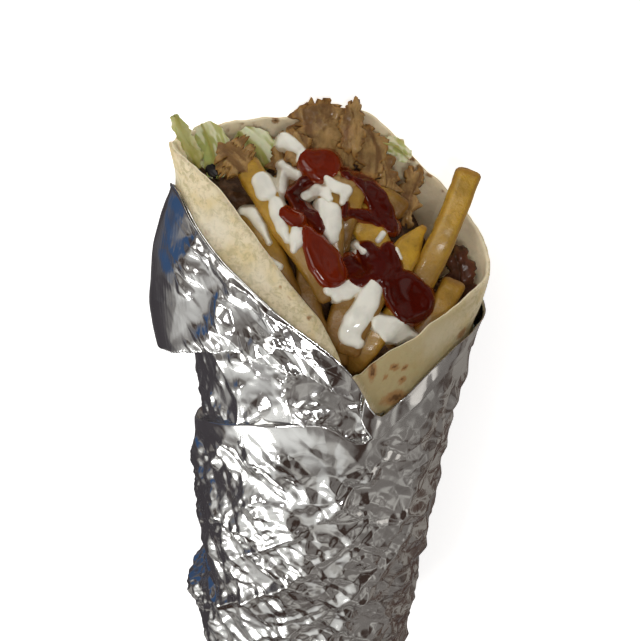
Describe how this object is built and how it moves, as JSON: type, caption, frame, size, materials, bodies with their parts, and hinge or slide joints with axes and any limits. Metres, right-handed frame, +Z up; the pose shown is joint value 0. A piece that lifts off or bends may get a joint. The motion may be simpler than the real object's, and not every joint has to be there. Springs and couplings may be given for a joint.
{
  "type": "kebab wrap in foil",
  "caption": "Rolled flatbread in a crumpled foil sleeve, lying on its back, open at one end and filled with chips, sliced meat, lettuce and thick sauces.",
  "frame": {"origin": "centre of the bounding box's bottom face, on the surface the wrap lies on", "axes": "+Y along the wrap towards its open mouth, +Z up towards the side where the left flap laps over the right one, +X to the right seen with the mouth at the top"},
  "size_m": [0.111, 0.2434, 0.0795],
  "materials": {
    "foil": "bright crumpled aluminium foil",
    "flatbread": "pale soft flatbread with toasted spots",
    "filling": "chips, meat and lettuce under glossy red and white sauce",
    "chip": "golden fried potato",
    "meat": "browned sliced meat",
    "lettuce": "pale green leaf"
  },
  "bodies": {
    "root": {"foil": "foil", "flatbread": "flatbread", "filling": "filling", "chip_long": "chip", "chip_right": "chip", "meat_blade": "meat", "meat_charred": "meat", "meat_side_inner": "meat", "meat_side_outer": "meat", "lettuce_rib": "lettuce", "lettuce_leaf": "lettuce", "lettuce_curl": "lettuce"}
  },
  "joints": []
}
